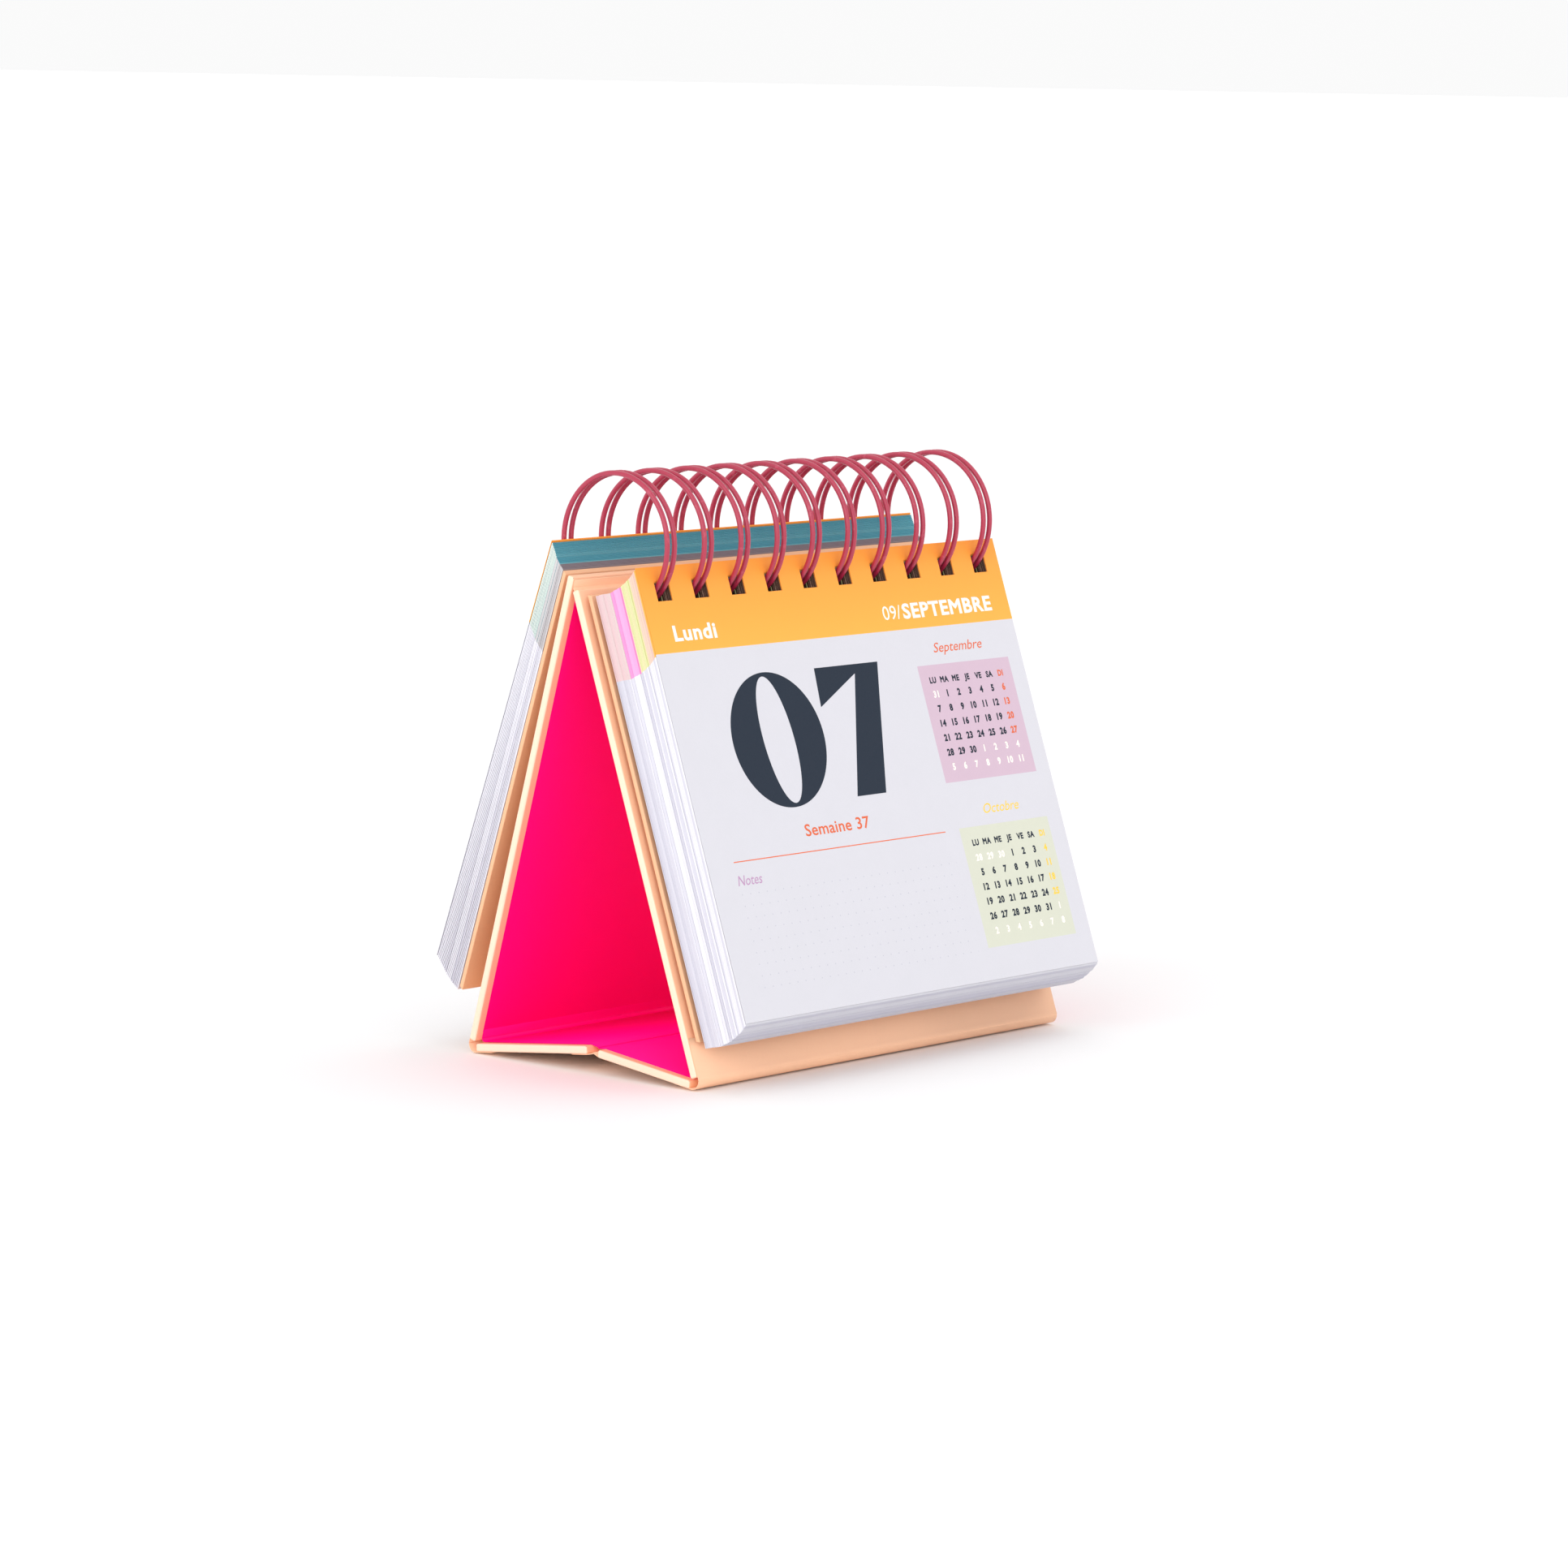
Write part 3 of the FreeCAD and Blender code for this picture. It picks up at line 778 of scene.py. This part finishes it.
month_table(93.8, 4.28, 33.9, 37.4, 3.57, 1, 30, "orange", 31)
month_table(94.7, 4.23, 73.9, 77.6, 3.58, 3, 31, "yellow", 30)

page_face = day_place @ Matrix.Translation((-WIDTH / 2, 0, (sheet_high.z - sheet_low.z) / MM - 0.01))
for colour, bm in ink_shapes.items():
    bmesh.ops.remove_doubles(bm, verts=bm.verts, dist=0.0005)
    bmesh.ops.recalc_face_normals(bm, faces=bm.faces[:])
    bmesh.ops.transform(bm, matrix=page_face, verts=bm.verts)
    piece = make_piece(colour + "_print", bm, INKS[colour], "current_day", stand=FRONT)
    print("%-14s %6d faces" % (piece.name, len(piece.data.polygons)))

# %% [markdown]
# Wrapped board and trimmed card both have eased outer edges and sharp holes. A bevel takes a
# list of edges, so the outer ones are picked by where they lie.

# %% Easing the edges
CORNER = 0.5
HOLE_REACH = max(HOLE_CENTRES) + HOLE_WIDTH
LINING_PROUD = 0.08
HOLE_EASE = 0.1


def round_outline(bm, radius, segments=3):
    """Rounds the outer edges of a plate and leaves the edges of its holes sharp."""
    spans = [[f(v.co[i] for v in bm.verts) for f in (min, max)] for i in (0, 1)]
    outer = []
    for edge in bm.edges:
        if len(edge.link_faces) == 2 and edge.calc_face_angle() > 1:
            middle = (edge.verts[0].co + edge.verts[1].co) / 2
            if any(abs(middle[i] - limit) < 1e-4 for i in (0, 1) for limit in spans[i]):
                outer.append(edge)
    bmesh.ops.bevel(bm, geom=outer, offset=radius, segments=segments, profile=0.5,
                    affect="EDGES", material=-1, clamp_overlap=True)


def hole_limits(node, stand):
    """Low and high edge of the row of holes through a flat node."""
    low, high = local_box(node, stand)
    inverse = stand.inverted()
    inner = []
    for v in frame["nodes"][node].data.vertices:
        y = (inverse @ v.co).y
        if low.y + 20 * MM < y < high.y - 0.5 * MM:
            inner.append(y)
    return (min(inner), max(inner)) if inner else (0.0, 0.0)


low, high = hole_limits("front_board", FRONT)
print("holes of the front board from %.1f to %.1f mm" % (low / MM, high / MM))

# %% [markdown]
# The case is greyboard wrapped in printed paper. The wrap turns in over the board's edges and the pink lining is
# laid on top of it, so each wrapped board is a rounded slab whose lined side lies a little under the lining. Its
# holes are a touch wider than the board's, which leaves the grey core in sight inside them. The cut ends are given
# a paler copy of the wrap, a painted highlight for the light that falls on them.

# %% Wrapped boards
def wrapped_board(name, panel, stand, lining_up, punched):
    """The wrap of a board as a rounded slab that leaves room for the lining."""
    low, high = local_box(panel + "_wrap", stand)
    base = low.z / MM + (0.0 if lining_up else LINING_PROUD)
    thick = (high.z - low.z) / MM - LINING_PROUD
    edges = (0.0, 0.0)
    if punched:
        bottom, top = hole_limits(panel + "_board", stand)
        edges = (bottom / MM - HOLE_EASE / 2, top / MM + HOLE_EASE / 2)
    bm = punched_plate((high.x - low.x) / MM, low.y / MM, high.y / MM, thick, *edges,
                       hole_width=HOLE_WIDTH + HOLE_EASE)
    round_outline(bm, CORNER)
    bm.normal_update()
    # Faces at the cut ends take the paler copy of the wrap, a painted highlight.
    for face in bm.faces:
        at_end = abs(face.calc_center_median().x) > HOLE_REACH
        face.material_index = int(at_end and abs(face.normal.x) > 0.5)
    bmesh.ops.translate(bm, vec=(0, 0, base), verts=bm.verts)
    return make_piece(name, bm, (WRAP_PAPER, WRAP_ENDS_PAINTED_LIGHTER), panel + "_panel" if punched else panel,
                      (panel + "_wrap",), record_slot(panel + "_wrap"), stand)


def stand_of(node, origin):
    """The local frame of a flat panel, from the slope of its largest face."""
    mesh = frame["nodes"][node].data
    widest = max(mesh.polygons, key=lambda face: face.area)
    normal = widest.normal if widest.normal.z > 0 else -widest.normal
    return Matrix.Translation(origin) @ Matrix.Rotation(math.atan2(-normal.y, normal.z), 4, "X")


BASE_FRONT = stand_of("base_front_lining", FRONT_FOOT)
BASE_REAR = stand_of("base_rear_lining", REAR_FOOT)
wrapped_board("front_case_wrap", "front", FRONT, False, True)
wrapped_board("back_case_wrap", "back", BACK, True, True)
wrapped_board("base_front_case_wrap", "base_front", BASE_FRONT, True, False)
wrapped_board("base_rear_case_wrap", "base_rear", BASE_REAR, True, False)
for node, finish in (("front_board", GREY_BOARD), ("back_board", GREY_BOARD),
                     ("base_front_board", GREY_BOARD), ("base_rear_board", GREY_BOARD),
                     ("front_lining", LINING_PAPER), ("back_lining", LINING_PAPER)):
    frame["nodes"][node].data.materials.clear()
    frame["nodes"][node].data.materials.append(finish)
CASE_WIDTH = (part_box("front_wrap")[1].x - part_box("front_wrap")[0].x) / MM
print("case %.1f mm wide" % CASE_WIDTH)

# %% [markdown]
# The cover and the backing are thick cards, printed on both sides and trimmed square, with the
# same row of holes as the pages.

# %% Cards
CARD_CORNER = 0.18
CARD_HOLE_TOP = -3.35
CARD_HOLE_BOTTOM = -8.4


def card(name, node, stand, body):
    """A thick card with its long edges and corners eased."""
    top, bottom = end_corners(node, stand)
    low, high = local_box(node, stand)
    length = (top[0][0] - bottom[0][0]) / MM
    thick = (top[1][1] - top[0][1]) / MM
    bm = punched_plate((high.x - low.x) / MM, -length, 0, thick, CARD_HOLE_BOTTOM, CARD_HOLE_TOP)
    round_outline(bm, CARD_CORNER, 2)
    bmesh.ops.transform(bm, matrix=hung(top[0], bottom[0], length, slant_of(top)), verts=bm.verts)
    print("%-14s %.1f mm long, %.2f mm thick" % (name, length, thick))
    return make_piece(name, bm, COVER_CARD, body, (node,), record_slot(node), stand)


card("backing_card", "backing_board", FRONT, "front_stack")
card("cover_card", "front_cover", BACK, "rear_stack")

# %% [markdown]
# Paper is what makes the hinges. A strip of it is bent along a path seen from the side: round
# each foot, down into the groove at the ridge and up again, and over the crease of the base.
# A grid with one row of faces per step follows the path, and solidify gives it its thickness.

# %% Bending paper
PAPER = 0.2


def paper_strip(path, width, thick):
    """A strip of paper of the given width along X, bent along (y, z) points in millimetres.

    A positive thickness grows to the right of the path, seen with Y to the right and Z up.
    """
    bm = bmesh.new()
    bmesh.ops.create_grid(bm, x_segments=1, y_segments=len(path) - 1, size=0.5)
    for v in bm.verts:
        y, z = path[round((v.co.y + 0.5) * (len(path) - 1))]
        v.co = (v.co.x * width, y, z)
    bmesh.ops.solidify(bm, geom=bm.faces[:], thickness=thick)
    bmesh.ops.recalc_face_normals(bm, faces=bm.faces[:])
    return bm


def curve_points(start, start_way, end, end_way, reach, steps=12):
    """A smooth bend from start to end that leaves and arrives along the two ways."""
    one = start + start_way * reach
    two = end - end_way * reach
    points = []
    for i in range(steps + 1):
        t = i / steps
        points.append(start * (1 - t) ** 3 + one * 3 * t * (1 - t) ** 2
                      + two * 3 * t ** 2 * (1 - t) + end * t ** 3)
    return points


def in_frame(stand, y, z):
    """A local (y, z) in millimetres as (y, z) in the object's frame, in millimetres."""
    place = stand @ Vector((0, y * MM, z * MM))
    return Vector((place.y, place.z)) / MM


def way(stand, y, z):
    """A local direction in the object's frame."""
    turned = stand.to_3x3() @ Vector((0, y, z))
    return Vector((turned.y, turned.z))


def lift(point):
    """A (y, z) in millimetres as a place in metres on the middle plane."""
    return (0, point.x * MM, point.y * MM)


STRIP_WIDTH = CASE_WIDTH - 1.5 * CORNER
print("hinge strips %.2f mm wide" % STRIP_WIDTH)

# %% [markdown]
# Round each foot the wrap is one sheet of paper from the tall panel to the base. The panels are rigid and turn
# about the foot, so the paper lies on both for a few millimetres and bulges a little in between.

# %% Foot papers
UNDER = 2.1
SEATED = UNDER + 0.04
OUTER = 2.33
BULGE_POWER = 0.7
BEND_STEPS = 16
LAP_UP = (9.0, 6.0, 3.0, 1.5)
LAP_ALONG = (1.5, 3.0, 5.0)


def foot_ways(foot, tall, tall_side, base):
    """At a foot: its pivot, out of and up the tall panel, and down from and along the base."""
    pivot = Vector((foot.y, foot.z)) / MM
    out = way(tall, 0, tall_side)
    along = way(base, 1, 0)
    if along.dot(out) > 0:
        along = -along
    return pivot, out, way(tall, 1, 0), way(base, 0, -1), along


def foot_paper(name, foot, tall, tall_side, base, node):
    """Paper from the outer face of a tall panel, round its foot and onto the base's under face."""
    pivot, out, up, down, along = foot_ways(foot, tall, tall_side, base)
    first = math.atan2(out.y, out.x)
    sweep = math.atan2(out.x * down.y - out.y * down.x, out.dot(down))
    path = [pivot + out * SEATED + up * rise for rise in LAP_UP]
    for i in range(BEND_STEPS + 1):
        share = i / BEND_STEPS
        radius = SEATED + (OUTER - SEATED) * math.sin(math.pi * share) ** BULGE_POWER
        angle = first + sweep * share
        path.append(pivot + Vector((math.cos(angle), math.sin(angle))) * radius)
    path += [pivot + down * SEATED + along * run for run in LAP_ALONG]
    path = [Vector((p.x, max(p.y, 0.0))) for p in path]
    bm = paper_strip([tuple(p) for p in path], STRIP_WIDTH, -PAPER if sweep > 0 else PAPER)
    for v in bm.verts:
        v.co.z = max(v.co.z, 0.0)
    piece = make_piece(name, bm, WRAP_PAPER, None, (node,), record_slot(node), smooth=True)
    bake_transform(piece)
    print("%-16s turns through %.1f degrees" % (name, math.degrees(sweep)))


foot_paper("front_foot_paper", FRONT_FOOT, FRONT, 1, BASE_FRONT,
           "front_foot_strip")
foot_paper("rear_foot_paper", REAR_FOOT, BACK, -1, BASE_REAR,
           "rear_foot_strip")

# %% [markdown]
# Inside the foot the lining turns the same corner. The strip starts just under the face of the
# tall panel's lining and ends just under the base's, so that no edge of it shows.

# %% Corner linings
CORNER_PAPER = 0.08
FACE_DROP = 0.08
TUCK = 0.05
TUCK_END = 3.2
FLAT_END = 2.9
BEND_END = 1.2
BEND_PULL = 0.8
LINING_WIDTH = (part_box("front_lining")[1].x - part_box("front_lining")[0].x) / MM


def corner_lining(name, foot, tall, tall_side, base):
    """The lining where it turns from a tall panel onto the base, just inside the foot."""
    pivot, out, up, down, along = foot_ways(foot, tall, tall_side, base)
    on_tall = pivot + out * FACE_DROP
    on_base = pivot + down * FACE_DROP
    first = on_tall + up * BEND_END
    last = on_base + along * BEND_END
    path = [on_tall + up * TUCK_END + out * TUCK, on_tall + up * FLAT_END]
    path += curve_points(first, -up, last, along, BEND_PULL)
    path += [on_base + along * FLAT_END, on_base + along * TUCK_END + down * TUCK]
    bm = paper_strip([tuple(p) for p in path], LINING_WIDTH, CORNER_PAPER * tall_side)
    piece = make_piece(name, bm, LINING_PAPER, None, (), "pink_lining", smooth=True)
    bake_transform(piece)
    print("%-20s %d points round the corner" % (name, len(path)))


corner_lining("front_corner_lining", FRONT_FOOT, FRONT, 1, BASE_FRONT)
corner_lining("rear_corner_lining", REAR_FOOT, BACK, -1, BASE_REAR)

# %% [markdown]
# At the ridge the paper runs over the end of the front panel, down into the groove, and up the inner face of the
# back panel, which stands a little taller.

# %% Ridge paper
GROOVE_PROUD = 0.05
FRONT_TOP_LAP = 0.7
GROOVE_START_RISE = 0.9
BACK_LAP = 1.6
BACK_END = 0.5
GROOVE_PULL = 0.7
front_low, front_high = local_box("front_wrap", FRONT)
back_low, back_high = local_box("back_wrap", BACK)
front_top = front_high.y / MM
back_top = back_high.y / MM
groove_start = in_frame(FRONT, front_top + GROOVE_PROUD, front_high.z / MM - FRONT_TOP_LAP)
groove_turn = in_frame(FRONT, front_top + GROOVE_PROUD, front_low.z / MM + GROOVE_START_RISE)
groove_end = in_frame(BACK, back_top - BACK_LAP, back_high.z / MM + GROOVE_PROUD)
groove_last = in_frame(BACK, back_top - BACK_END, back_high.z / MM + GROOVE_PROUD)
groove = [groove_start]
groove += curve_points(groove_turn, way(FRONT, 0, -1), groove_end, way(BACK, 1, 0), GROOVE_PULL)
groove.append(groove_last)
print("groove %.1f mm across" % (groove_end - groove_turn).length)
bm = paper_strip([tuple(p) for p in groove], STRIP_WIDTH, PAPER)
ridge = make_piece("ridge_groove_paper", bm, WRAP_PAPER, None, ("apex_hinge_strip",),
                   record_slot("apex_hinge_strip"), smooth=True)
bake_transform(ridge)

# %% [markdown]
# The lining of the base runs on over the crease as one sheet and dips between the two boards.
# The base's own crease carries no joint in the frame, so wrap and lining meet there in two
# halves, each riding on its own board. The meeting lines lie half way between the boards' ends.

# %% Base lining and crease
LINING_DIP = 0.35
CREASE_RISE = 0.6
CREASE_LAP = 5.0
TURN_BACK = 0.8
TURN_LEAD = 0.4
CREASE_PULL = 0.7
CREASE_STEPS = 8


def board_ends(towards, stand, body):
    """The inner and outer corner of a base board's end at the crease, in its own frame."""
    low, high = local_box(body + "_wrap", stand)
    end = (high.y if towards > 0 else low.y) / MM
    return Vector((end, high.z / MM)), Vector((end, low.z / MM))


def to_local(stand, point):
    """A (y, z) of the object's frame as a local one, in millimetres."""
    place = stand.inverted() @ Vector(lift(point))
    return Vector((place.y, place.z)) / MM


HALVES = {"base_front": (1, BASE_FRONT), "base_rear": (-1, BASE_REAR)}
corners = {body: board_ends(towards, stand, body) for body, (towards, stand) in HALVES.items()}
meeting = []
for level, shift in ((0, -LINING_DIP), (1, CREASE_RISE)):
    ends = [in_frame(HALVES[body][1], *corners[body][level]) for body in HALVES]
    meeting.append((ends[0] + ends[1]) / 2 + Vector((0, shift)))

for body, (towards, stand) in HALVES.items():
    inner, outer = corners[body]
    run = Vector((towards, 0))
    lining_low, lining_high = local_box(body + "_lining", stand)
    foot_end = (lining_low.y if towards > 0 else lining_high.y) / MM
    for level, corner, start in ((0, inner, foot_end), (1, outer, outer.x - towards * CREASE_LAP)):
        target = to_local(stand, meeting[level])
        turn = corner - run * TURN_BACK
        path = [Vector((start, corner.y)), turn - run * TURN_LEAD]
        path += curve_points(turn, run, target, (target - corner).normalized(), CREASE_PULL, CREASE_STEPS)
        path = [tuple(p) for p in path]
        if level == 0:
            bm = paper_strip(path, (lining_high.x - lining_low.x) / MM, PAPER * towards)
            make_piece(body + "_lining_paper", bm, LINING_PAPER, body, (body + "_lining",),
                       record_slot(body + "_lining"), stand, smooth=True)
        else:
            bm = paper_strip(path, STRIP_WIDTH, -PAPER * towards)
            make_piece(body + "_crease_paper", bm, WRAP_PAPER, body,
                       ("base_crease_strip",) if towards > 0 else (),
                       record_slot("base_crease_strip"), stand, smooth=True)
print("crease stands %.1f mm above the table" % meeting[1].y)

# %% [markdown]
# The binding wire is steel in a raspberry nylon coat. Each loop is two wires side by side,
# closed at the back under the cover. The coat is smooth and glossy, with faint dull rubs.

# %% Wire
NYLON = (180, 37, 72)
NYLON_DEEP = (152, 29, 59)
NYLON_RUBBED = (214, 92, 118)
RUB_START = 0.63
wire_tree = Tree("raspberry_nylon_wire")
spot = wire_tree.node("ShaderNodeTexCoord", output=3)
rub = noise(wire_tree, spot, 420.0, 4.0)
grain = noise(wire_tree, spot, 3200.0, 2.0)
worn = (rub > RUB_START) * 0.5
wire_colour = blend_colours(wire_tree, rub * 0.5, linear(*NYLON), linear(*NYLON_DEEP))
wire_tree.set("Base Color", blend_colours(wire_tree, worn * 0.5, wire_colour, linear(*NYLON_RUBBED)))
wire_tree.set("Roughness", 0.3 + rub * 0.16)
wire_tree.set("Normal", wire_tree.node("ShaderNodeBump", Strength=0.08, Distance=0.0001, Height=grain))
wire_tree.shader.inputs["Coat Weight"].default_value = 0.5
wire_tree.shader.inputs["Coat Roughness"].default_value = 0.14
wire_node = frame["nodes"]["twin_loop_wire"]
wire_node.data.materials.clear()
wire_node.data.materials.append(wire_tree.material)
wire_node.data.shade_smooth()
print("wire faces:", len(wire_node.data.polygons))

# %% [markdown]
# A pale seamless floor in an even white surround, with one broad soft light from the right and
# a weaker one from the left.

# %% Stage
FLOOR_REACH = 60.0
FLOOR_DROP = 0.0002
SURROUND = 0.96
bm = bmesh.new()
bmesh.ops.create_grid(bm, x_segments=1, y_segments=1, size=FLOOR_REACH)
floor_mesh = bpy.data.meshes.new("floor")
bm.to_mesh(floor_mesh)
bm.free()
floor = bpy.data.objects.new("floor", floor_mesh)
bpy.context.scene.collection.objects.link(floor)
floor.location.z = -FLOOR_DROP
floor_tree = Tree("pale_floor")
floor_spot = floor_tree.node("ShaderNodeTexCoord", output=3)
floor_cloud = noise(floor_tree, floor_spot, 6.0)
floor_white = blend_colours(floor_tree, floor_cloud, linear(250, 249, 249), linear(246, 246, 247))
floor_tree.set("Base Color", floor_white)
floor_tree.set("Roughness", 0.75)
floor_mesh.materials.append(floor_tree.material)
floor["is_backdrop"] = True

world = bpy.data.worlds.new("surround")
world.use_nodes = True
world.node_tree.nodes["Background"].inputs["Color"].default_value = (1.0, 1.0, 1.0, 1.0)
world.node_tree.nodes["Background"].inputs["Strength"].default_value = SURROUND
bpy.context.scene.world = world


def soft_light(name, direction, angle, strength):
    """A broad far-off light that shines along a direction, with soft-edged shadows."""
    lamp = bpy.data.lights.new(name, "SUN")
    lamp.angle = math.radians(angle)
    lamp.energy = strength
    holder = bpy.data.objects.new(name, lamp)
    holder.rotation_mode = "QUATERNION"
    holder.rotation_quaternion = Vector(direction).to_track_quat("-Z", "Y")
    bpy.context.scene.collection.objects.link(holder)
    holder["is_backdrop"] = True
    print("%-6s light, %d degrees wide" % (name, angle))


soft_light("key", (-0.5, 0.35, -0.8), 50, 0.26)
soft_light("fill", (0.9, 0.15, -0.3), 60, 1.1)
soft_light("front", (0.35, 0.9, -0.25), 50, 0.35)

# %% [markdown]
# The camera looks at the calendar from its left front corner, a little above the table, with a
# long lens.

# %% Camera
YAW = math.radians(49.364)
PITCH = math.radians(7.319)
ROLL = math.radians(1.021)
FOCAL_LENGTH = 131.17
SENSOR = 36
CAMERA_PLACE = Vector((-1.0203, -0.87853, 0.23414))
look = Vector((math.sin(YAW) * math.cos(PITCH), math.cos(YAW) * math.cos(PITCH), -math.sin(PITCH)))
side = Vector((math.cos(YAW), -math.sin(YAW), 0))
above = side.cross(look)
right = side * math.cos(ROLL) + above * math.sin(ROLL)
up = above * math.cos(ROLL) - side * math.sin(ROLL)
lens = bpy.data.cameras.new("camera")
lens.sensor_width = SENSOR
lens.lens = FOCAL_LENGTH
lens.clip_start = 0.05
lens.clip_end = 40
camera = bpy.data.objects.new("camera", lens)
camera.matrix_world = Matrix((right, up, -look)).transposed().to_4x4()
camera.location = CAMERA_PLACE
bpy.context.scene.collection.objects.link(camera)
bpy.context.scene.camera = camera
bpy.context.scene.view_settings.view_transform = "Standard"
print("camera %.2f m from the ridge" % (CAMERA_PLACE - APEX).length)

# %% [markdown]
# The visual box of the finished pieces is printed and compared with the frame's own box, which they should stay
# inside.

# %% Size
BOX_SLACK = 1e-6
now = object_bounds()
print("visual box in mm:", [[round(c / MM, 2) for c in corner] for corner in now])
for low, cad_low, high, cad_high in zip(now[0], CAD_BOX[0], now[1], CAD_BOX[1]):
    if low < cad_low - BOX_SLACK or high > cad_high + BOX_SLACK:
        print("outside the CAD box by", max(cad_low - low, high - cad_high) / MM, "mm")
